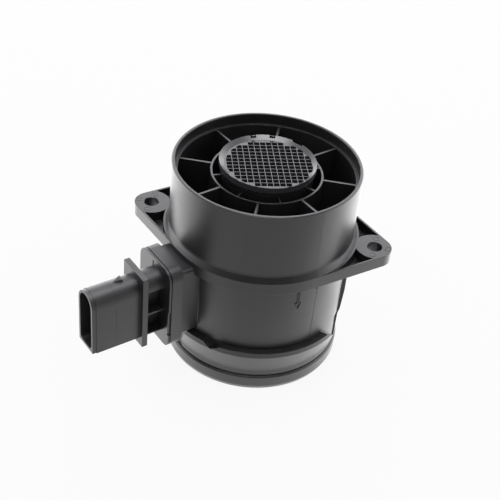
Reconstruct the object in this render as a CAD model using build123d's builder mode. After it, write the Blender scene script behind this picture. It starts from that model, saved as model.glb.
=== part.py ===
from build123d import *
from math import cos, sin, radians
import os

# Mass airflow sensor, in millimetres.
# +Z is the air axis with the inlet up, the origin is the centre of the outlet end.
# The connector points along -Y. u is the distance from the air axis toward the connector,
# w is the sideways distance along +X.

# Air tube
inlet_r = 45.0
inlet_top_z = 105.0
inlet_bore_r = inlet_r - 1.7
rim_round = 0.5
ledge_z = 99.5
passage_r = inlet_bore_r - 1.2
passage_end_z = 70.0
body_r = 43.4
body_draft = 0.6
body_bore_r = body_r - 3.0
body_bore_z = 62.0
body_end_z = 26.9
neck_r = body_r - 0.6
neck_top_z = 26.3
outlet_bore_r = neck_r - 3.4
bead_r = body_r + 0.8
bead_top_z = 7.3
bead_round = 0.8
bead_chamfer_z = 2.0
bead_end_r = body_r

# Mounting flange
flange_r = inlet_r + 1.8
flange_top_z = 68.9
foot_bend = (0.25, 71.7)
foot_top_z = 72.7
flange_bottom_z = 62.8
ear_angle = 43.0
ear_spacing = 111.9
ear_tip_r = 8.3
ear_hole_r = 3.5
ear_hole_chamfer = 0.35
ear_boss_r = 9.4
ear_ring_r = 47.7
ear_wall = 1.0
ear_pocket_depth = 5.0
gusset_thickness = 2.2
gusset_end_z = 9.0
gusset_edge = ((0.1, 9.0), (0.35, 24.0), (1.2, 28.0), (2.0, 40.0), (2.0, 62.8))

# Fins and inner tube
fin_count = 8
fin_angle = 1.9
fin_thickness = 1.1
fin_low_z = 72.0
guard_r = 26.75
guard_wall = 1.0
small_fin_thickness = 0.8
small_fin_low_z = 84.0
inner_r = 22.3
inner_bore_r = 20.4
inner_top_z = 102.6
inner_step_z = inner_top_z - 2.0
inner_step_r = 21.9
inner_low_z = 34.0

# Collar pads round the outlet, each a foot band that flares out to a rim
pad_r = 43.3
pad_low_z = 8.8
pad_flare_z = 11.25
pad_rim_r = 47.0
pad_rim_low_z = 23.2
pad_top_r = 46.7
pad_top_z = 25.75
pad_start = -88.0
pad_start_z = 12.0
pad_full_start = -79.0
pad_full_end = 17.0
pad_end = 39.0
pad_end_z = 10.5
notch_angle = -60.0
notch_reach = (-4.9, -0.8, 4.1)
notch_z = 23.0

# Flow arrow, raised on the body
arrow_angle = -9.5
arrow_tip_z = 49.6
arrow_head_z = 53.4
arrow_tail_z = 59.5
arrow_head_half = 1.7
arrow_shaft_half = 0.6
arrow_line = 0.3
arrow_height = 0.3

# Sensor boss
boss_frame_u = body_r + 8.6
boss_u = boss_frame_u + 5.9
boss_half_w = 13.8
boss_low_z = 24.2
boss_top_z = 69.0
boss_corner = 6.0
boss_low_corner = 4.0
boss_root_u = body_r - 2.8
boss_root_half_w = 11.8
boss_root_low_z = 28.0
boss_root_top_z = 66.0
boss_root_corner = 1.5
bore_u = boss_u - 11.9
bore_half_w = 9.0
bore_low_z = 30.6
bore_top_z = 62.4
bore_corner = 4.0
slot_inner_u = bore_u - 8.0
slot_half_w = 5.6
slot_low_z = 33.0
slot_top_z = 60.0
module_clearance = 0.3

# Sensor module outside the boss
plate_thickness = 1.5
plate_seam = 0.4
plate_seam_depth = 0.8
plate_jog = 0.8
plate_jog_z = (32.0, 46.0)
grip_u = boss_u + 11.1
grip_thickness = 2.8
grip_w = (-7.2, 11.0)
grip_z = (28.3, 68.4)
shell_end_u = boss_u + 38.4
shell_w = (-5.0, 8.8)
shell_low_z = 32.7
shell_top_z = 65.2
shell_wall = 1.5
shell_inner_corner = 2.8
shell_floor_u = boss_u + 15.6
shell_lead = 2.0
shell_lead_step = 0.25
spine_half_w = 1.3
web_thickness = 0.6
middle_web_z = 45.0
latch_u = (boss_u + 20.3, boss_u + 21.4, boss_u + 24.7)
latch_half_w = 1.7
latch_height = 1.5

# Sensor module inside the boss
blade_end_u = -9.0
blade_half_w = 5.2
blade_low_z = 33.5
blade_top_z = 59.5
lid_seat_w = 3.6
lid_thickness = blade_half_w - lid_seat_w
lid_clearance = 0.1
pit_floor_w = -1.6
pit_u = (14.0, bore_u)
pit_z = (36.0, 53.0)
pit_wide_u = 39.5
pit_wide_z = 57.0
lid_lip = 1.0
channel_floor_w = -3.2
channel_u = (-7.0, 11.0)
channel_low_z = 36.0
island_u = (-2.2, 5.6)
island_low_z = 40.5
window_z = (49.0, 55.0)
notch_u = (28.0, 38.0)
notch_low_z = 54.6

# Parts carried by the module
seal_u = bore_u + 4.5
seal_section_r = 0.95
seal_play = 0.02
base_thickness = 0.8
board_thickness = 0.64
board_edge = 1.0
pin_count = 5
pin_pitch = 3.0
pin_middle_z = 49.0
pin_size = (0.64, 1.5)
pin_end_u = bore_u - 4.0
pin_tip_u = shell_end_u - 7.3
pin_tip_chamfer = 0.25
chip_size = (7.0, 7.0, 0.9)
chip_u = 31.0
capacitor_size = (1.2, 2.0, 0.8)
capacitor_spots = ((24.5, 39.0), (24.5, 43.0), (37.0, 40.0), (37.0, 45.0))
gel_top_w = 0.5
carrier_u = (2.8, 20.0)
carrier_half_z = 2.6
carrier_z = 44.5
carrier_thickness = 0.7
sense_u = 5.2
sense_size = (2.0, 3.4, 0.3)
bead_bulb_r = 1.1
lead_r = 0.22
lead_embed = 1.2
bulb_z = 57.2

# Flow straightener grid
grid_outer_r = 23.0
grid_top_z = inner_top_z + 2.9
grid_dish_z = grid_top_z - 1.6
grid_spigot_r = inner_bore_r - 0.05
grid_spigot_wall = 1.35
grid_spigot_low_z = inner_top_z - 3.0
grid_opening_r = 20.6
grid_low_z = inner_top_z - 2.0
grid_pitch = 2.9
grid_bar = 0.32
grid_columns = 14
grid_rows = 13
grid_angle = 61.5
grid_reach = 19.9
grid_clip_r = 20.5
grid_shift = (0.6, 0.5)
edge_notches = ((106.6, 6.0, 0.7), (140.0, 2.8, 1.3), (164.0, 2.8, 1.3))

# Clips on the inner tube that hold the grid
clip_angles = (140.0, 164.0)
clip_size = (0.5, 1.8, 3.1)


# Planes and blocks in the frame above
def across(u):
    return Plane(origin=(0, -u, 0), x_dir=(1, 0, 0), z_dir=(0, -1, 0))


def beside(w):
    return Plane(origin=(w, 0, 0), x_dir=(0, -1, 0), z_dir=(-1, 0, 0))


def radial(angle):
    a = radians(angle)
    return Plane(origin=(0, 0, 0), x_dir=(cos(a), sin(a), 0), z_dir=(sin(a), -cos(a), 0))


def tangent(angle, distance):
    a = radians(angle)
    return Plane(origin=(distance * cos(a), distance * sin(a), 0),
                 x_dir=(-sin(a), cos(a), 0), z_dir=(cos(a), sin(a), 0))


def block(u, w, z, mode=Mode.ADD):
    with BuildSketch(across(u[0])) as face:
        with Locations(((w[0] + w[1]) / 2, (z[0] + z[1]) / 2)):
            Rectangle(w[1] - w[0], z[1] - z[0])
    extrude(face.sketch, amount=u[1] - u[0], mode=mode)


def rounded_block(u, half_w, z, corner, mode=Mode.ADD):
    with BuildSketch(across(u[0])) as face:
        with Locations((0, (z[0] + z[1]) / 2)):
            RectangleRounded(2 * half_w, z[1] - z[0], corner)
    extrude(face.sketch, amount=u[1] - u[0], mode=mode)


def boss_block(u, inset=0):
    with BuildSketch(across(u[0])) as face:
        with Locations((0, (boss_low_z + boss_top_z) / 2)):
            Rectangle(2 * (boss_half_w - inset), boss_top_z - boss_low_z - 2 * inset)
        fillet(face.vertices().sort_by(Axis.Y)[:2], boss_low_corner - inset)
        fillet(face.vertices().sort_by(Axis.Y)[-2:], boss_corner - inset)
    extrude(face.sketch, amount=u[1] - u[0])


def ring_arc(points, start, end, mode=Mode.ADD):
    with BuildSketch(radial(start)) as profile:
        Polygon(*points, align=None)
    revolve(profile.sketch, axis=Axis.Z, revolution_arc=end - start, mode=mode)


# Depth that an added form reaches into the wall it grows from
embed = 1.0


# Flange outline, a round plate drawn out to two ears
def ear_centres(radius):
    a = radians(ear_angle)
    return [(radius * cos(a), radius * sin(a)), (-radius * cos(a), -radius * sin(a))]


with BuildSketch() as flange_outline:
    Circle(flange_r)
    with Locations(*ear_centres(ear_spacing / 2)):
        Circle(ear_tip_r)
    make_hull()

with BuildSketch() as pocket_outline:
    add(flange_outline.sketch)
    offset(amount=-ear_wall, mode=Mode.REPLACE)
    Circle(ear_ring_r, mode=Mode.SUBTRACT)
    with Locations(*ear_centres(ear_spacing / 2)):
        Circle(ear_boss_r, mode=Mode.SUBTRACT)

# Cut that slopes the top of a collar pad between two angles
def slope_cut(start, start_z, end, end_z):
    half = pad_rim_r * sin(radians((end - start) / 2))
    with BuildSketch(tangent((start + end) / 2, neck_r / 2)) as face:
        Polygon((-half, start_z), (half, end_z), (half, body_end_z), (-half, body_end_z), align=None)
    extrude(face.sketch, amount=pad_rim_r, mode=Mode.SUBTRACT)


# Collar pad in front of the boss, with sloped ends and a notch in its rim
with BuildPart() as pad:
    ring_arc([(neck_r - embed, pad_low_z), (pad_r, pad_low_z), (pad_r, pad_flare_z), (pad_rim_r, pad_rim_low_z),
              (pad_top_r, pad_top_z), (neck_r - embed, pad_top_z)], pad_start, pad_end)
    slope_cut(pad_start, pad_start_z, pad_full_start, pad_top_z)
    slope_cut(pad_full_end, pad_top_z, pad_end, pad_end_z)
    with BuildSketch(tangent(notch_angle, neck_r)):
        Polygon((notch_reach[0], pad_top_z), (notch_reach[1], notch_z), (notch_reach[2], pad_top_z), align=None)
    extrude(amount=pad_rim_r - neck_r, mode=Mode.SUBTRACT)

# Housing
with BuildPart() as housing:
    with BuildSketch(Plane.XZ):
        with BuildLine():
            Polyline((outlet_bore_r, 0), (bead_end_r, 0), (bead_r, bead_chamfer_z), (bead_r, bead_top_z),
                     (bead_r - bead_round, bead_top_z + bead_round), (neck_r, bead_top_z + bead_round),
                     (neck_r, neck_top_z), (body_r, body_end_z),
                     (body_r + body_draft, flange_bottom_z), (flange_r, flange_bottom_z),
                     (flange_r, flange_top_z), (inlet_r + foot_bend[0], foot_bend[1]),
                     (inlet_r, foot_top_z), (inlet_r, inlet_top_z - rim_round),
                     (inlet_r - rim_round, inlet_top_z), (inlet_bore_r + rim_round / 2, inlet_top_z),
                     (inlet_bore_r, inlet_top_z - rim_round), (inlet_bore_r, ledge_z),
                     (passage_r, ledge_z), (passage_r, passage_end_z), (body_bore_r, body_bore_z),
                     (body_bore_r, body_end_z), (outlet_bore_r, neck_top_z), (outlet_bore_r, 0))
        make_face()
    revolve(axis=Axis.Z)

    # Ears with blind pockets and gussets below
    with BuildSketch(Plane.XY.offset(flange_bottom_z)):
        add(flange_outline.sketch)
        Circle(body_r - embed, mode=Mode.SUBTRACT)
    extrude(amount=flange_top_z - flange_bottom_z)
    with BuildSketch(Plane.XY.offset(flange_top_z)):
        add(pocket_outline.sketch)
    extrude(amount=-ear_pocket_depth, mode=Mode.SUBTRACT)
    with BuildSketch(Plane.XY.offset(flange_bottom_z)):
        with Locations(*ear_centres(ear_spacing / 2)):
            Circle(ear_hole_r)
    extrude(amount=flange_top_z - flange_bottom_z, mode=Mode.SUBTRACT)
    with Locations(*[(x, y, flange_top_z - ear_hole_chamfer / 2) for x, y in ear_centres(ear_spacing / 2)]):
        Cone(ear_hole_r, ear_hole_r + ear_hole_chamfer, ear_hole_chamfer, mode=Mode.SUBTRACT)
    for angle in (ear_angle, ear_angle + 180):
        with BuildSketch(radial(angle)):
            Polygon((neck_r - embed, gusset_end_z), *[(body_r + step, z) for step, z in gusset_edge],
                    (neck_r - embed, flange_bottom_z), align=None)
        extrude(amount=gusset_thickness / 2, both=True)

    # Long fins and guard ring
    with BuildSketch(Plane.XY.offset(fin_low_z)):
        fin_length = passage_r - guard_r + guard_wall
        with PolarLocations(guard_r - guard_wall / 2 + fin_length / 2, fin_count, fin_angle):
            Rectangle(fin_length, fin_thickness)
        Circle(guard_r)
        Circle(guard_r - guard_wall, mode=Mode.SUBTRACT)
    extrude(amount=ledge_z - fin_low_z)

    # Short fins between guard ring and inner tube
    with BuildSketch(Plane.XY.offset(small_fin_low_z)):
        gap = guard_r - guard_wall - inner_step_r
        with PolarLocations(inner_step_r + gap / 2, fin_count, fin_angle + 180 / fin_count):
            Rectangle(gap + guard_wall, small_fin_thickness)
    extrude(amount=ledge_z - small_fin_low_z)

    # Inner tube with the slot that the blade enters
    with BuildSketch(Plane.XZ):
        Polygon((inner_bore_r, inner_low_z), (inner_step_r, inner_low_z), (inner_step_r, inner_step_z),
                (inner_r, inner_step_z), (inner_r, inner_top_z), (inner_bore_r, inner_top_z), align=None)
    revolve(axis=Axis.Z)
    block((0, slot_inner_u), (-slot_half_w, slot_half_w), (inner_low_z, slot_top_z), Mode.SUBTRACT)
    with BuildSketch(Plane.XY.offset(inner_top_z)):
        for angle in clip_angles:
            with PolarLocations(inner_r - clip_size[0] / 2, 1, angle):
                Rectangle(clip_size[0], clip_size[1])
    extrude(amount=clip_size[2])

    # Sensor boss and its bore
    rounded_block((boss_root_u, boss_frame_u), boss_root_half_w, (boss_root_low_z, boss_root_top_z),
                  boss_root_corner)
    boss_block((boss_frame_u, boss_u))
    rounded_block((bore_u, boss_u), bore_half_w, (bore_low_z, bore_top_z), bore_corner, Mode.SUBTRACT)
    block((slot_inner_u, bore_u), (-slot_half_w, slot_half_w), (slot_low_z, slot_top_z), Mode.SUBTRACT)

    # Pads round the outlet, mirrored to the far side
    add(pad.part)
    add(mirror(pad.part, about=Plane.YZ, mode=Mode.PRIVATE))

    # Flow arrow
    with BuildSketch(tangent(arrow_angle, body_r - embed)):
        Polygon((0, arrow_tip_z), (arrow_head_half, arrow_head_z), (-arrow_head_half, arrow_head_z), align=None)
        with Locations((0, (arrow_head_z + arrow_tail_z) / 2)):
            Rectangle(2 * arrow_shaft_half, arrow_tail_z - arrow_head_z)
        offset(amount=-arrow_line, mode=Mode.SUBTRACT)
    extrude(amount=embed + body_draft + arrow_height)
housing.part.label = "housing"

# Flow straightener grid
with BuildPart() as grid:
    spigot_inner_r = grid_spigot_r - grid_spigot_wall
    with BuildSketch(Plane.XZ):
        Polygon((0, grid_low_z), (spigot_inner_r, grid_low_z), (spigot_inner_r, grid_spigot_low_z),
                (grid_spigot_r, grid_spigot_low_z), (grid_spigot_r, inner_top_z), (grid_outer_r, inner_top_z),
                (grid_outer_r, grid_top_z), (grid_opening_r, grid_dish_z), (0, grid_dish_z), align=None)
    revolve(axis=Axis.Z)
    with BuildSketch(Plane(origin=(grid_shift[0], grid_shift[1], grid_low_z))):
        for column in range(grid_columns):
            for row in range(grid_rows):
                x = (column - (grid_columns - 1) / 2) * grid_pitch
                y = (row - (grid_rows - 1) / 2) * grid_pitch
                if x * x + y * y < grid_reach ** 2:
                    with Locations(Location((0, 0, 0), (0, 0, grid_angle)) * Location((x, y, 0))):
                        Rectangle(grid_pitch - grid_bar, grid_pitch - grid_bar)
        Circle(grid_clip_r, mode=Mode.INTERSECT)
    extrude(amount=grid_top_z - grid_low_z, mode=Mode.SUBTRACT)
    with BuildSketch(Plane.XY.offset(inner_top_z)):
        for angle, width, depth in edge_notches:
            with PolarLocations(grid_outer_r, 1, angle):
                Rectangle(2 * depth, width)
    extrude(amount=grid_top_z - inner_top_z, mode=Mode.SUBTRACT)
grid.part.label = "flow_straightener"

# Sections of the connector
shell_middle_w = (shell_w[0] + shell_w[1]) / 2
shell_half_w = (shell_w[1] - shell_w[0]) / 2
shell_round_z = shell_top_z - shell_half_w
plate_u = boss_u + plate_thickness
shell_start_u = grip_u + grip_thickness


def shell_section(u, length, inset, corner=0, mode=Mode.ADD):
    half = shell_half_w - inset
    with BuildSketch(across(u)) as section:
        with Locations((shell_middle_w, (shell_low_z + inset + shell_round_z) / 2)):
            Rectangle(2 * half, shell_round_z - shell_low_z - inset)
        if corner:
            fillet(section.vertices().sort_by(Axis.Y)[:2], corner)
        with Locations((shell_middle_w, shell_round_z)):
            Circle(half)
    extrude(section.sketch, amount=length, mode=mode)


# Outline of the electronics pit, grown for the lid
def pit_face(w, grow):
    with BuildSketch(beside(w)) as face:
        Polygon((pit_u[0] - grow, pit_z[0] - grow), (pit_u[1] + grow, pit_z[0] - grow),
                (pit_u[1] + grow, pit_wide_z + grow), (pit_wide_u - grow, pit_wide_z + grow),
                (pit_wide_u - grow, pit_z[1] + grow), (pit_u[0] - grow, pit_z[1] + grow), align=None)
    return face.sketch


# Latch wedge that narrows toward the end of the shell
with BuildPart() as latch:
    crown = shell_round_z + shell_half_w
    with BuildSketch(beside(shell_middle_w + latch_half_w)):
        Polygon((latch_u[0], crown - embed), (latch_u[2], crown - embed), (latch_u[2], crown),
                (latch_u[1], crown + latch_height), (latch_u[0], crown + latch_height), align=None)
    extrude(amount=2 * latch_half_w)
    with BuildSketch(Plane.XY.offset(crown - embed)):
        Polygon((shell_middle_w - latch_half_w, -latch_u[0]), (shell_middle_w + latch_half_w, -latch_u[0]),
                (shell_middle_w, -latch_u[2]), align=None)
    extrude(amount=embed + latch_height, mode=Mode.INTERSECT)

# Sensor module body
with BuildPart() as module:
    # Plate against the boss, with a seam behind its rim and a jog in its near side
    boss_block((boss_u, boss_u + plate_seam), plate_seam_depth)
    boss_block((boss_u + plate_seam, plate_u))
    block((boss_u + plate_seam, plate_u), (boss_half_w - plate_jog, boss_half_w), plate_jog_z, Mode.SUBTRACT)

    # Sealing body with its ring groove, then the blade
    body_half_w = bore_half_w - module_clearance
    body_z = (bore_low_z + module_clearance, bore_top_z - module_clearance)
    rounded_block((bore_u + module_clearance, boss_u), body_half_w, body_z, bore_corner - module_clearance)
    groove_depth = 2 * (seal_section_r + seal_play) - module_clearance
    with BuildSketch(across(seal_u - seal_section_r)):
        with Locations((0, (body_z[0] + body_z[1]) / 2)):
            RectangleRounded(2 * body_half_w, body_z[1] - body_z[0], bore_corner - module_clearance)
            offset(amount=-groove_depth, mode=Mode.SUBTRACT)
    extrude(amount=2 * seal_section_r, mode=Mode.SUBTRACT)
    block((blade_end_u, bore_u + module_clearance), (-blade_half_w, blade_half_w), (blade_low_z, blade_top_z))

    # Neck between plate and grip, with side pockets between its webs
    shell_section(plate_u, grip_u - plate_u, 0)
    for side in (-1, 1):
        near = shell_middle_w + side * spine_half_w
        far = shell_middle_w + side * (shell_half_w + embed)
        for low, high in ((shell_low_z, middle_web_z), (middle_web_z, shell_round_z)):
            block((plate_u, grip_u), (min(near, far), max(near, far)),
                  (low + web_thickness, high - web_thickness / 2), Mode.SUBTRACT)

    # Grip plate and connector shell
    block((grip_u, shell_start_u), grip_w, grip_z)
    shell_section(shell_start_u, shell_end_u - shell_start_u, shell_lead_step)
    shell_section(shell_start_u, shell_end_u - shell_lead - shell_start_u, 0)
    shell_section(shell_floor_u, shell_end_u - shell_floor_u, shell_wall, shell_inner_corner, Mode.SUBTRACT)
    add(latch.part)

    # Seat for the electronics lid and the pit below it
    extrude(pit_face(blade_half_w, lid_lip), amount=lid_thickness, mode=Mode.SUBTRACT)
    extrude(pit_face(lid_seat_w, 0), amount=lid_seat_w - pit_floor_w, mode=Mode.SUBTRACT)

    # Seat for the channel lid and the bent air channel below it
    block((channel_u[0] - lid_lip, channel_u[1] + lid_lip), (lid_seat_w, blade_half_w),
          (channel_low_z - lid_lip, blade_top_z), Mode.SUBTRACT)
    block(channel_u, (channel_floor_w, lid_seat_w), (channel_low_z, blade_top_z), Mode.SUBTRACT)
    block(island_u, (channel_floor_w, lid_seat_w), (island_low_z, blade_top_z))
    block((island_u[1], channel_u[1]), (channel_floor_w, lid_seat_w), (window_z[1], blade_top_z))

    # Slot that the sensing carrier passes, and the notch for the temperature bulb
    carrier_w = pit_floor_w + base_thickness + board_thickness
    block(carrier_u, (carrier_w, lid_seat_w),
          (carrier_z - carrier_half_z - lid_clearance, carrier_z + carrier_half_z + lid_clearance), Mode.SUBTRACT)
    block(notch_u, (-blade_half_w, blade_half_w), (notch_low_z, blade_top_z), Mode.SUBTRACT)
    for u in (notch_u[0] - lead_embed, notch_u[1]):
        with BuildSketch(across(u)):
            with Locations((0, bulb_z)):
                Circle(lead_r)
        extrude(amount=lead_embed, mode=Mode.SUBTRACT)

    # Holes that the terminals pass
    for i in range(pin_count):
        z = pin_middle_z + (i - (pin_count - 1) / 2) * pin_pitch
        block((pin_end_u, shell_floor_u), (shell_middle_w - pin_size[0] / 2, shell_middle_w + pin_size[0] / 2),
              (z - pin_size[1] / 2, z + pin_size[1] / 2), Mode.SUBTRACT)
module.part.label = "sensor_module"

# Seal ring in the groove of the sealing body
seal_inset = seal_section_r + seal_play
with BuildPart() as seal:
    with BuildSketch(across(seal_u)) as seal_path:
        with Locations((0, (bore_low_z + bore_top_z) / 2)):
            RectangleRounded(2 * (bore_half_w - seal_inset), bore_top_z - bore_low_z - 2 * seal_inset,
                             bore_corner - seal_inset, mode=Mode.ADD)
    seal_wire = seal_path.sketch.faces()[0].outer_wire()
    with BuildSketch(Plane(origin=seal_wire @ 0, z_dir=seal_wire % 0)) as seal_section:
        Circle(seal_section_r)
    sweep(seal_section.sketch, path=seal_wire, mode=Mode.ADD)
seal.part.label = "seal_ring"

# Electronics lid and channel lid
with BuildPart() as electronics_lid:
    extrude(pit_face(blade_half_w, lid_lip - lid_clearance), amount=lid_thickness)
electronics_lid.part.label = "electronics_lid"

with BuildPart() as channel_lid:
    block((channel_u[0] - lid_lip + lid_clearance, channel_u[1] + lid_lip - lid_clearance),
          (lid_seat_w, blade_half_w), (channel_low_z - lid_lip + lid_clearance, blade_top_z))
    block((island_u[1], channel_u[1]), (lid_seat_w, blade_half_w), window_z, Mode.SUBTRACT)
channel_lid.part.label = "channel_lid"

# Base plate, board and what stands on the board
base_top_w = pit_floor_w + base_thickness
board_top_w = base_top_w + board_thickness
board_u = (pit_u[0] + board_edge, pin_end_u - board_edge)
board_z = (pit_z[0] + board_edge, pit_z[1] - board_edge)

with BuildPart() as base_plate:
    block((pit_u[0] + lid_clearance, pit_u[1] - lid_clearance), (pit_floor_w, base_top_w),
          (pit_z[0] + lid_clearance, pit_z[1] - lid_clearance))
base_plate.part.label = "base_plate"

with BuildPart() as board:
    block(board_u, (base_top_w, board_top_w), board_z)
board.part.label = "circuit_board"

middle_z = (board_z[0] + board_z[1]) / 2
with BuildPart() as processor:
    block((chip_u - chip_size[0] / 2, chip_u + chip_size[0] / 2), (board_top_w, board_top_w + chip_size[2]),
          (middle_z - chip_size[1] / 2, middle_z + chip_size[1] / 2))
processor.part.label = "processor_chip"

with BuildPart() as capacitors:
    for u, z in capacitor_spots:
        block((u - capacitor_size[0] / 2, u + capacitor_size[0] / 2),
              (board_top_w, board_top_w + capacitor_size[2]),
              (z - capacitor_size[1] / 2, z + capacitor_size[1] / 2))
capacitors.part.label = "capacitors"

# Sensing carrier reaching into the channel, with its sensing chip
with BuildPart() as carrier:
    block(carrier_u, (board_top_w, board_top_w + carrier_thickness),
          (carrier_z - carrier_half_z, carrier_z + carrier_half_z))
carrier.part.label = "sensing_carrier"

with BuildPart() as sense_chip:
    block((sense_u - sense_size[0] / 2, sense_u + sense_size[0] / 2),
          (board_top_w + carrier_thickness, board_top_w + carrier_thickness + sense_size[2]),
          (carrier_z - sense_size[1] / 2, carrier_z + sense_size[1] / 2))
sense_chip.part.label = "sensing_chip"

# Gel poured over the board round the parts on it
with BuildPart() as gel:
    block(board_u, (board_top_w, board_top_w + gel_top_w), board_z)
    add(processor.part, mode=Mode.SUBTRACT)
    add(capacitors.part, mode=Mode.SUBTRACT)
    add(carrier.part, mode=Mode.SUBTRACT)
gel.part.label = "gel_fill"

# Air temperature bulb on two leads across the notch
bulb_u = (notch_u[0] + notch_u[1]) / 2
with BuildPart() as bulb:
    with Locations((0, -bulb_u, bulb_z)):
        Sphere(bead_bulb_r)
bulb.part.label = "temperature_bulb"

with BuildPart() as leads:
    for u, length in ((notch_u[0] - lead_embed, bulb_u - notch_u[0] + lead_embed),
                      (bulb_u, notch_u[1] + lead_embed - bulb_u)):
        with BuildSketch(across(u)):
            with Locations((0, bulb_z)):
                Circle(lead_r)
        extrude(amount=length)
    with Locations((0, -bulb_u, bulb_z)):
        Sphere(bead_bulb_r, mode=Mode.SUBTRACT)
leads.part.label = "bulb_leads"

# Terminals, one piece each
pins = []
for i in range(pin_count):
    z = pin_middle_z + (i - (pin_count - 1) / 2) * pin_pitch
    with BuildPart() as pin:
        block((pin_end_u, pin_tip_u), (shell_middle_w - pin_size[0] / 2, shell_middle_w + pin_size[0] / 2),
              (z - pin_size[1] / 2, z + pin_size[1] / 2))
        chamfer(pin.faces().sort_by(Axis.Y)[0].edges(), pin_tip_chamfer)
    pin.part.label = "terminal_" + str(i + 1)
    pins.append(pin)

# Export
os.makedirs("parts", exist_ok=True)
for piece in [housing, grid, module, seal, electronics_lid, channel_lid, base_plate, board, processor,
              capacitors, carrier, sense_chip, gel, bulb, leads] + pins:
    export_step(piece.part, "parts/" + piece.part.label + ".step")
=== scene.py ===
import bpy
import bmesh
from math import radians, cos, sin
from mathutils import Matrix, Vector


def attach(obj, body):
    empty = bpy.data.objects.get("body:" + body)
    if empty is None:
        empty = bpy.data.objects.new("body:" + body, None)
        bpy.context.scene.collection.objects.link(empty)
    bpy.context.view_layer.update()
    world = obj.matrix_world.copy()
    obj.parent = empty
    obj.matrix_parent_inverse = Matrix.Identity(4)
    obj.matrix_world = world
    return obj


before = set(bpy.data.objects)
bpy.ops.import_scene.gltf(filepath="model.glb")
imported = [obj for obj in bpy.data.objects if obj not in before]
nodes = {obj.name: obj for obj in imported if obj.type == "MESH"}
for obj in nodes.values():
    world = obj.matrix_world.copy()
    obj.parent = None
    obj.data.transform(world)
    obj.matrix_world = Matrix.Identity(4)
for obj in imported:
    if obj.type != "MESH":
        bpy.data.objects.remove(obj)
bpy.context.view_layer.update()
print("frame loaded:", len(nodes), "nodes")

# ---- camera
camera = {
    "place": (0.32966, -0.25683, 0.37162),
    "turn": (52.461, -4.556, 56.156),    # degrees
    "lens": 76.15,
    "sensor": 36.0,
}
camData = bpy.data.cameras.new("photoCamera")
camData.lens, camData.sensor_width = camera["lens"], camera["sensor"]
camData.clip_start, camData.clip_end = 0.01, 20
cam = bpy.data.objects.new("photoCamera", camData)
cam.location = camera["place"]
cam.rotation_euler = [radians(a) for a in camera["turn"]]
bpy.context.scene.collection.objects.link(cam)
bpy.context.scene.camera = cam
bpy.context.scene.view_settings.view_transform = "Standard"
print("camera set")


# ---- material helpers
def nodeAt(tree, kind, x, y, **values):
    node = tree.nodes.new(kind)
    node.location = (x, y)
    for key, value in values.items():
        node.inputs[key].default_value = value
    return node


def freshMaterial(name):
    mat = bpy.data.materials.new(name)
    mat.use_nodes = True
    tree = mat.node_tree
    tree.nodes.clear()
    out = nodeAt(tree, "ShaderNodeOutputMaterial", 600, 0)
    shader = nodeAt(tree, "ShaderNodeBsdfPrincipled", 300, 0)
    tree.links.new(shader.outputs["BSDF"], out.inputs["Surface"])
    return mat, tree, shader


def noiseAt(tree, y, size, detail=3.0):
    coord = nodeAt(tree, "ShaderNodeTexCoord", -1200, y)
    noise = nodeAt(tree, "ShaderNodeTexNoise", -900, y, Scale=1 / size, Detail=detail, Roughness=0.6)
    tree.links.new(coord.outputs["Object"], noise.inputs["Vector"])
    return noise


def spread(tree, source, low, high, x, y):
    mapped = nodeAt(tree, "ShaderNodeMapRange", x, y)
    mapped.inputs["To Min"].default_value, mapped.inputs["To Max"].default_value = low, high
    tree.links.new(source, mapped.inputs["Value"])
    return mapped.outputs["Result"]


def tinted(tree, shader, colour, source, change):
    tint = nodeAt(tree, "ShaderNodeMix", -300, 300)
    tint.data_type, tint.blend_type = "RGBA", "MULTIPLY"
    tint.inputs[0].default_value = 1.0
    tint.inputs[6].default_value = (*colour, 1)
    tree.links.new(spread(tree, source, 1 - change, 1 + change, -600, 300), tint.inputs[7])
    tree.links.new(tint.outputs[2], shader.inputs["Base Color"])


# Satin moulded plastic: fine spark texture, slow flow mottling, edges rounded off in the shading normal
def mouldedPlastic(name, colour, roughness=0.4, grain=0.00025, bump=0.1, edge=0.00025):
    mat, tree, shader = freshMaterial(name)
    link = tree.links.new
    fine = noiseAt(tree, -300, grain)
    broad = noiseAt(tree, 300, 0.011, 4.0)
    tinted(tree, shader, colour, broad.outputs["Fac"], 0.15)
    link(spread(tree, broad.outputs["Fac"], roughness - 0.05, roughness + 0.05, -300, 50),
         shader.inputs["Roughness"])
    soften = nodeAt(tree, "ShaderNodeBevel", -300, -450, Radius=edge)
    soften.samples = 6
    relief = nodeAt(tree, "ShaderNodeBump", 0, -200, Strength=bump, Distance=0.00004)
    link(fine.outputs["Fac"], relief.inputs["Height"])
    link(soften.outputs["Normal"], relief.inputs["Normal"])
    link(relief.outputs["Normal"], shader.inputs["Normal"])
    return mat


# Fired ceramic with tiny speckles
def firedCeramic(name, colour, roughness=0.5):
    mat, tree, shader = freshMaterial(name)
    speck = noiseAt(tree, 0, 0.0004, 5.0)
    tinted(tree, shader, colour, speck.outputs["Fac"], 0.12)
    tree.links.new(spread(tree, speck.outputs["Fac"], roughness - 0.1, roughness + 0.1, -300, 50),
                   shader.inputs["Roughness"])
    relief = nodeAt(tree, "ShaderNodeBump", 0, -200, Strength=0.15, Distance=0.00003)
    tree.links.new(speck.outputs["Fac"], relief.inputs["Height"])
    tree.links.new(relief.outputs["Normal"], shader.inputs["Normal"])
    return mat


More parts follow.
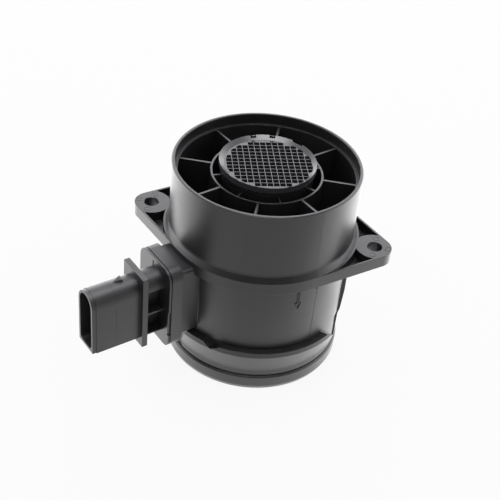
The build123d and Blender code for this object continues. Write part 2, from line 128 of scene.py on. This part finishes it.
# Rolled or drawn metal, streaked along one direction
def streakedMetal(name, colour, roughness, stretch):
    mat, tree, shader = freshMaterial(name)
    coord = nodeAt(tree, "ShaderNodeTexCoord", -1400, 0)
    along = nodeAt(tree, "ShaderNodeMapping", -1200, 0, Scale=stretch)
    streak = nodeAt(tree, "ShaderNodeTexNoise", -900, 0, Scale=1.0, Detail=4.0, Roughness=0.6)
    tree.links.new(coord.outputs["Object"], along.inputs["Vector"])
    tree.links.new(along.outputs["Vector"], streak.inputs["Vector"])
    tinted(tree, shader, colour, streak.outputs["Fac"], 0.1)
    tree.links.new(spread(tree, streak.outputs["Fac"], roughness - 0.08, roughness + 0.08, -300, 50),
                   shader.inputs["Roughness"])
    shader.inputs["Metallic"].default_value = 1.0
    relief = nodeAt(tree, "ShaderNodeBump", 0, -200, Strength=0.1, Distance=0.00002)
    tree.links.new(streak.outputs["Fac"], relief.inputs["Height"])
    tree.links.new(relief.outputs["Normal"], shader.inputs["Normal"])
    return mat


# Printed board: pale ceramic with dark silver tracks
def printedBoard(name, paleColour, trackColour):
    mat, tree, shader = freshMaterial(name)
    coord = nodeAt(tree, "ShaderNodeTexCoord", -1400, 0)
    turn = nodeAt(tree, "ShaderNodeMapping", -1200, 0, Rotation=(0, radians(90), 0))
    tracks = nodeAt(tree, "ShaderNodeTexBrick", -900, 0, Scale=260.0)
    tracks.inputs["Color1"].default_value = (*paleColour, 1)
    tracks.inputs["Color2"].default_value = (*[0.94 * c for c in paleColour], 1)
    tracks.inputs["Mortar"].default_value = (*trackColour, 1)
    tracks.inputs["Mortar Size"].default_value = 0.03
    tree.links.new(coord.outputs["Object"], turn.inputs["Vector"])
    tree.links.new(turn.outputs["Vector"], tracks.inputs["Vector"])
    tree.links.new(tracks.outputs["Color"], shader.inputs["Base Color"])
    tree.links.new(spread(tree, tracks.outputs["Fac"], 0.35, 0.6, -300, 50), shader.inputs["Roughness"])
    relief = nodeAt(tree, "ShaderNodeBump", 0, -200, Strength=0.2, Distance=0.00003)
    tree.links.new(tracks.outputs["Fac"], relief.inputs["Height"])
    tree.links.new(relief.outputs["Normal"], shader.inputs["Normal"])
    return mat


# Clear or tinted body with slight ripples
def clearBody(name, colour, roughness, ior, through):
    mat, tree, shader = freshMaterial(name)
    ripple = noiseAt(tree, 0, 0.003, 2.0)
    tinted(tree, shader, colour, ripple.outputs["Fac"], 0.06)
    tree.links.new(spread(tree, ripple.outputs["Fac"], roughness, roughness + 0.1, -300, 50),
                   shader.inputs["Roughness"])
    shader.inputs["IOR"].default_value = ior
    shader.inputs["Transmission Weight"].default_value = through
    return mat


housingPlastic = mouldedPlastic("housingPlastic", (0.012, 0.012, 0.013))
finishes = {
    "housing": housingPlastic,
    # grid: its own dark plastic tone, lifted and tinted lavender as a painted reflection of the bright
    # room above its top faces
    "flow_straightener": mouldedPlastic("gridPlasticPaintedSheen", (0.034, 0.033, 0.038), 0.27, 0.0002, 0.06, 0.00005),
    "sensor_module": mouldedPlastic("modulePlastic", (0.013, 0.013, 0.014), 0.42),
    "seal_ring": mouldedPlastic("sealRubber", (0.012, 0.012, 0.012), 0.55, 0.0004, 0.05),
    "electronics_lid": mouldedPlastic("lidPlastic", (0.026, 0.026, 0.027), 0.38),
    "base_plate": streakedMetal("baseMetal", (0.72, 0.72, 0.73), 0.3, (400, 30, 4000)),
    "circuit_board": printedBoard("boardCeramic", (0.82, 0.81, 0.76), (0.35, 0.34, 0.33)),
    "processor_chip": mouldedPlastic("chipResin", (0.03, 0.03, 0.03), 0.3, 0.0001, 0.05, 0.0001),
    "capacitors": firedCeramic("capacitorCeramic", (0.55, 0.42, 0.3), 0.4),
    "sensing_carrier": firedCeramic("carrierCeramic", (0.75, 0.74, 0.7)),
    "sensing_chip": clearBody("sensingSilicon", (0.12, 0.13, 0.2), 0.08, 2.2, 0.0),
    "gel_fill": clearBody("pottingGel", (0.82, 0.86, 0.88), 0.05, 1.41, 0.9),
    "temperature_bulb": clearBody("bulbGlass", (0.6, 0.35, 0.2), 0.03, 1.5, 0.6),
    "bulb_leads": streakedMetal("leadMetal", (0.7, 0.7, 0.7), 0.28, (3000, 200, 3000)),
}
finishes["channel_lid"] = finishes["electronics_lid"]
terminalMetal = streakedMetal("terminalMetal", (0.75, 0.72, 0.66), 0.25, (4000, 150, 4000))
for name, node in nodes.items():
    node.data.materials.clear()
    node.data.materials.append(finishes.get(name, terminalMetal))
print("materials given:", len(finishes) + 1)


# ---- modelling helpers
def clearSelection():
    if bpy.context.mode != "OBJECT":
        bpy.ops.object.mode_set(mode="OBJECT")
    bpy.ops.object.select_all(action="DESELECT")


def openEdit(kind="FACE"):
    bpy.ops.object.mode_set(mode="EDIT")
    bpy.ops.mesh.select_mode(type=kind)
    bpy.ops.mesh.select_all(action="DESELECT")


def pickFaces(test):
    mesh = bmesh.from_edit_mesh(bpy.context.object.data)
    for face in mesh.faces:
        face.select_set(test(face.calc_center_median(), face.normal))
    bmesh.update_edit_mesh(bpy.context.object.data)


def joinAs(name, pieces, material):
    clearSelection()
    for piece in pieces:
        piece.select_set(True)
    bpy.context.view_layer.objects.active = pieces[0]
    if len(pieces) > 1:
        bpy.ops.object.join()
    piece = bpy.context.object
    bpy.ops.object.transform_apply(location=True, rotation=True, scale=True)
    piece.name = piece.data.name = name
    piece.data.materials.clear()
    piece.data.materials.append(material)
    bpy.ops.object.shade_smooth_by_angle(angle=radians(35))
    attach(piece, "root")
    clearSelection()
    return piece


def copyOf(source, place, turn=(0, 0, 0)):
    twin = source.copy()
    twin.data = source.data.copy()
    twin.location = place
    twin.rotation_euler = turn
    bpy.context.scene.collection.objects.link(twin)
    return twin


# ---- marks that the ejector pins left on the ears
ejectorMark = {
    "radius": 0.0016,
    "ring": 0.00022,
    "height": 0.00006,
    "earReach": 0.05595,       # air axis to the middle of an ear hole
    "earAngle": 43,
    "fromHole": 0.0065,
    "topZ": 0.0689,
}


def makeEjectorMark(m):
    clearSelection()
    bpy.ops.mesh.primitive_circle_add(vertices=28, radius=m["radius"], fill_type="NGON")
    openEdit()
    bpy.ops.mesh.select_all(action="SELECT")
    bpy.ops.mesh.extrude_region_move(TRANSFORM_OT_translate={"value": (0, 0, m["height"])})
    bpy.ops.mesh.inset(thickness=m["ring"])
    bpy.ops.mesh.extrude_region_move(TRANSFORM_OT_translate={"value": (0, 0, -0.8 * m["height"])})
    bpy.ops.mesh.select_all(action="SELECT")
    bpy.ops.mesh.normals_make_consistent(inside=False)
    bpy.ops.object.mode_set(mode="OBJECT")
    return bpy.context.object


mark = makeEjectorMark(ejectorMark)
marks = []
for side in (0, 180):
    ear = radians(ejectorMark["earAngle"] + side)
    for step in (-90, 0, 90):
        spot = ear + radians(step)
        marks.append(copyOf(mark, (
            ejectorMark["earReach"] * cos(ear) + ejectorMark["fromHole"] * cos(spot),
            ejectorMark["earReach"] * sin(ear) + ejectorMark["fromHole"] * sin(spot),
            ejectorMark["topZ"])))
bpy.data.objects.remove(mark)
joinAs("ejectorMarks", marks, housingPlastic)

# A small gate mark on the body, beside the mould line
gateMark = {
    "radius": 0.0006,
    "ring": 0.0002,
    "height": 0.00015,
    "angle": 3.5,
    "reach": 0.0439,
    "z": 0.059,
}
gate = makeEjectorMark(gateMark)
a = radians(gateMark["angle"])
gate.location = (gateMark["reach"] * cos(a), gateMark["reach"] * sin(a), gateMark["z"])
gate.rotation_euler = (0, radians(90), a)
joinAs("gateMark", [gate], housingPlastic)
print("ejector and gate marks made")

# ---- lines left by the mould halves on the body and round the connector shell
mouldLine = {
    "bodyAngles": (3.9, 183.9),
    "bodyRadius": (0.04345, 0.04398),    # low and high end, on the body's slight draft
    "bodyZ": (0.0275, 0.0626),
    "shellY": -0.0842,
    "shellMiddleX": 0.0019,
    "shellHalf": 0.0069,
    "shellZ": (0.0327, 0.0652),
    "width": 0.00012,
    "height": 0.00003,
}


# A ridge along Z whose crown faces +X, standing the given height out of the wall and as deep into it
def makeRidge(width, height, length):
    clearSelection()
    bpy.ops.mesh.primitive_cube_add(size=1)
    bpy.ops.transform.resize(value=(2 * height, width, length))
    bpy.ops.object.transform_apply(location=True, rotation=True, scale=True)
    openEdit()
    pickFaces(lambda c, n: n.x > 0.9)
    bpy.ops.mesh.inset(thickness=width / 4)
    bpy.ops.transform.translate(value=(height / 3, 0, 0))    # a rounded crown
    bpy.ops.mesh.select_all(action="SELECT")
    bpy.ops.mesh.bisect(plane_co=(0, 0, 0), plane_no=(0, 0, 1))
    bpy.ops.object.mode_set(mode="OBJECT")
    return bpy.context.object


bodyLength = mouldLine["bodyZ"][1] - mouldLine["bodyZ"][0]
line = makeRidge(mouldLine["width"], mouldLine["height"], bodyLength)
lean = (mouldLine["bodyRadius"][1] - mouldLine["bodyRadius"][0]) / bodyLength
bodyMiddleR = sum(mouldLine["bodyRadius"]) / 2
bodyMiddleZ = sum(mouldLine["bodyZ"]) / 2
bodyLines = []
for angle in mouldLine["bodyAngles"]:
    a = radians(angle)
    bodyLines.append(copyOf(line, (bodyMiddleR * cos(a), bodyMiddleR * sin(a), bodyMiddleZ), (0, lean, a)))
bpy.data.objects.remove(line)
joinAs("bodyMouldLines", bodyLines, housingPlastic)

# ---- seams where the boss root meets the body, and the rib on the plate above the neck
bossSeam = {
    "width": 0.0005,
    "height": 0.00025,
    "sideX": 0.0118,
    "wallY": -0.0419,
    "spanZ": (0.0325, 0.0605),
    "facing": (-45, 225),      # degrees round Z, right and left
}
plateRib = {
    "width": 0.0003,
    "height": 0.00018,
    "place": (-0.002, -0.0594, 0.0641),
    "length": 0.0058,
}
seam = makeRidge(bossSeam["width"], bossSeam["height"], bossSeam["spanZ"][1] - bossSeam["spanZ"][0])
seamMiddleZ = sum(bossSeam["spanZ"]) / 2
seams = []
for side, facing in zip((1, -1), bossSeam["facing"]):
    seams.append(copyOf(seam, (side * bossSeam["sideX"], bossSeam["wallY"], seamMiddleZ),
                        (0, 0, radians(facing))))
bpy.data.objects.remove(seam)
joinAs("bossSeams", seams, housingPlastic)
rib = makeRidge(plateRib["width"], plateRib["height"], plateRib["length"])
rib.location, rib.rotation_euler = plateRib["place"], (0, 0, radians(-90))
joinAs("plateRib", [rib], finishes["sensor_module"])
print("seams made")


def makeShellLine(m):
    clearSelection()
    straight = m["shellZ"][1] - m["shellHalf"] - m["shellZ"][0]
    bpy.ops.mesh.primitive_cube_add(size=1, location=(m["shellMiddleX"], m["shellY"],
                                                      m["shellZ"][0] + straight / 2))
    bpy.ops.transform.resize(value=(2 * (m["shellHalf"] + m["height"]), m["width"], straight))
    bpy.ops.object.transform_apply(location=True, rotation=True, scale=True)
    openEdit()
    pickFaces(lambda c, n: n.z > 0.9)
    bpy.ops.mesh.delete(type="FACE")
    bpy.ops.object.mode_set(mode="OBJECT")
    sides = bpy.context.object
    clearSelection()
    roundZ = m["shellZ"][0] + straight
    bpy.ops.mesh.primitive_cylinder_add(vertices=64, radius=m["shellHalf"] + m["height"], depth=m["width"],
                                        location=(m["shellMiddleX"], m["shellY"], roundZ),
                                        rotation=(radians(90), 0, 0))
    openEdit()
    bpy.ops.mesh.select_all(action="SELECT")
    bpy.ops.mesh.bisect(plane_co=(0, 0, roundZ), plane_no=(0, 0, 1), clear_inner=True)
    bpy.ops.object.mode_set(mode="OBJECT")
    return [sides, bpy.context.object]


shellLine = makeShellLine(mouldLine)
joinAs("shellMouldLine", shellLine, finishes["sensor_module"])
print("mould lines made")

# ---- light and floor
studio = {
    "cameraSide": (0.795, -0.606, 0),    # the photographer's side is dark
    "overhead": (0.08, -0.06, 0.995),
    "up": (0, 0, 1),
    "dark": 0.04,
    "side": 1.35,
    "back": 4.3,
    "backRamp": (0.0, 0.25),             # share of cameraSide over which back turns to side
    "darkRamp": (0.25, 0.7),             # and over which side turns to dark
    "highShare": 0.42,                   # what is left of the back light above 35 degrees
    "highRamp": (0.3, 0.58),
    "top": 10.0,
    "topRamp": (0.88, 0.97),
    "fill": 0.8,                         # plain light on matt surfaces
    "floorCamera": 0.9,                  # share of plain white the camera sees
    "floorGlossy": 0.85,                 # share of the glow that reflections see
    "glowReach": (-0.06, 0.09),          # metres toward the photographer
    "glowLevels": (4.7, 1.3),
    "floorSize": 6,
    "floorDrop": 0.0005,
}
backBox = {
    "place": (-0.85, 0.62, 0.85),
    "aim": (0, 0, 0.05),
    "size": (1.1, 0.8),
    "power": 3,
    "colour": (0.96, 0.96, 1),
}
world = bpy.data.worlds.new("studio")
bpy.context.scene.world = world
world.use_nodes = True
wt = world.node_tree
wt.nodes.clear()
out = nodeAt(wt, "ShaderNodeOutputWorld", 1200, 0)
backdrop = nodeAt(wt, "ShaderNodeBackground", 600, 100, Color=(1, 1, 1, 1), Strength=1.0)
fill = nodeAt(wt, "ShaderNodeBackground", 300, 0, Color=(1, 1, 1, 1), Strength=studio["fill"])
room = nodeAt(wt, "ShaderNodeBackground", 300, -200, Color=(0.97, 0.97, 1, 1), Strength=1.0)
path = nodeAt(wt, "ShaderNodeLightPath", 300, 400)
coord = nodeAt(wt, "ShaderNodeTexCoord", -900, -200)


def towards(direction, y):
    node = nodeAt(wt, "ShaderNodeVectorMath", -600, y)
    node.operation = "DOT_PRODUCT"
    node.inputs[1].default_value = direction
    wt.links.new(coord.outputs["Generated"], node.inputs[0])
    return node.outputs["Value"]


def rampOf(source, reach, levels, y):
    node = nodeAt(wt, "ShaderNodeMapRange", -300, y)
    node.inputs["From Min"].default_value, node.inputs["From Max"].default_value = reach
    node.inputs["To Min"].default_value, node.inputs["To Max"].default_value = levels
    wt.links.new(source, node.inputs["Value"])
    return node.outputs["Result"]


def combined(operation, first, second, x, y):
    node = nodeAt(wt, "ShaderNodeMath", x, y)
    node.operation = operation
    wt.links.new(first, node.inputs[0])
    wt.links.new(second, node.inputs[1])
    return node.outputs[0]


# Reflections see a room that is bright behind and above and dark in front
front = towards(studio["cameraSide"], -200)
backToSide = rampOf(front, studio["backRamp"], (studio["back"], studio["side"]), -100)
sideToDark = rampOf(front, studio["darkRamp"], (1.0, studio["dark"]), -350)
lowered = rampOf(towards(studio["up"], -900), studio["highRamp"], (1.0, studio["highShare"]), -900)
overhead = rampOf(towards(studio["overhead"], -600), studio["topRamp"], (0, studio["top"]), -600)
levels = combined("MULTIPLY", backToSide, sideToDark, 0, -200)
levels = combined("MULTIPLY", levels, lowered, 80, -300)
levels = combined("ADD", levels, overhead, 150, -400)
wt.links.new(levels, room.inputs["Strength"])
reflected = nodeAt(wt, "ShaderNodeMixShader", 600, -100)
mix = nodeAt(wt, "ShaderNodeMixShader", 900, 0)
wt.links.new(path.outputs["Is Glossy Ray"], reflected.inputs[0])
wt.links.new(fill.outputs[0], reflected.inputs[1])
wt.links.new(room.outputs[0], reflected.inputs[2])
wt.links.new(path.outputs["Is Camera Ray"], mix.inputs[0])
wt.links.new(reflected.outputs[0], mix.inputs[1])
wt.links.new(backdrop.outputs[0], mix.inputs[2])
wt.links.new(mix.outputs[0], out.inputs["Surface"])


def makeSoftbox(name, m):
    data = bpy.data.lights.new(name, "AREA")
    data.shape, data.size, data.size_y = "RECTANGLE", *m["size"]
    data.energy, data.color = m["power"], m["colour"]
    lamp = bpy.data.objects.new(name, data)
    lamp.location = m["place"]
    lamp.rotation_euler = (Vector(m["aim"]) - Vector(m["place"])).to_track_quat("-Z", "Y").to_euler()
    bpy.context.scene.collection.objects.link(lamp)


makeSoftbox("backSoftbox", backBox)
print("lights set")

clearSelection()
bpy.ops.mesh.primitive_plane_add(size=studio["floorSize"], location=(0, 0, -studio["floorDrop"]))
floor = bpy.context.object
floor.name = "whiteFloor"
mat, tree, shader = freshMaterial("whiteFloor")
shader.inputs["Base Color"].default_value = (0.9, 0.9, 0.9, 1)
shader.inputs["Roughness"].default_value = 0.9
plain = nodeAt(tree, "ShaderNodeEmission", 300, 300, Strength=1.0)
seen = nodeAt(tree, "ShaderNodeLightPath", 0, 500)
share = nodeAt(tree, "ShaderNodeMath", 300, 500)
share.operation = "MULTIPLY"
share.inputs[1].default_value = studio["floorCamera"]
blend = nodeAt(tree, "ShaderNodeMixShader", 600, 200)
tree.links.new(seen.outputs["Is Camera Ray"], share.inputs[0])
tree.links.new(share.outputs[0], blend.inputs[0])
tree.links.new(shader.outputs["BSDF"], blend.inputs[1])
tree.links.new(plain.outputs[0], blend.inputs[2])

# In reflections the sheet glows, brighter away from the photographer
spot = nodeAt(tree, "ShaderNodeTexCoord", -600, 800)
ahead = nodeAt(tree, "ShaderNodeVectorMath", -300, 800)
ahead.operation = "DOT_PRODUCT"
ahead.inputs[1].default_value = studio["cameraSide"]
glow = nodeAt(tree, "ShaderNodeMapRange", 0, 800)
glow.inputs["From Min"].default_value, glow.inputs["From Max"].default_value = studio["glowReach"]
glow.inputs["To Min"].default_value, glow.inputs["To Max"].default_value = studio["glowLevels"]
lit = nodeAt(tree, "ShaderNodeEmission", 300, 800)
shine = nodeAt(tree, "ShaderNodeMath", 600, 600)
shine.operation = "MULTIPLY"
shine.inputs[1].default_value = studio["floorGlossy"]
both = nodeAt(tree, "ShaderNodeMixShader", 900, 400)
tree.links.new(spot.outputs["Object"], ahead.inputs[0])
tree.links.new(ahead.outputs["Value"], glow.inputs["Value"])
tree.links.new(glow.outputs["Result"], lit.inputs["Strength"])
tree.links.new(seen.outputs["Is Glossy Ray"], shine.inputs[0])
tree.links.new(shine.outputs[0], both.inputs[0])
tree.links.new(blend.outputs[0], both.inputs[1])
tree.links.new(lit.outputs[0], both.inputs[2])
tree.links.new(both.outputs[0], tree.nodes["Material Output"].inputs["Surface"])
floor.data.materials.append(mat)
print("floor laid")
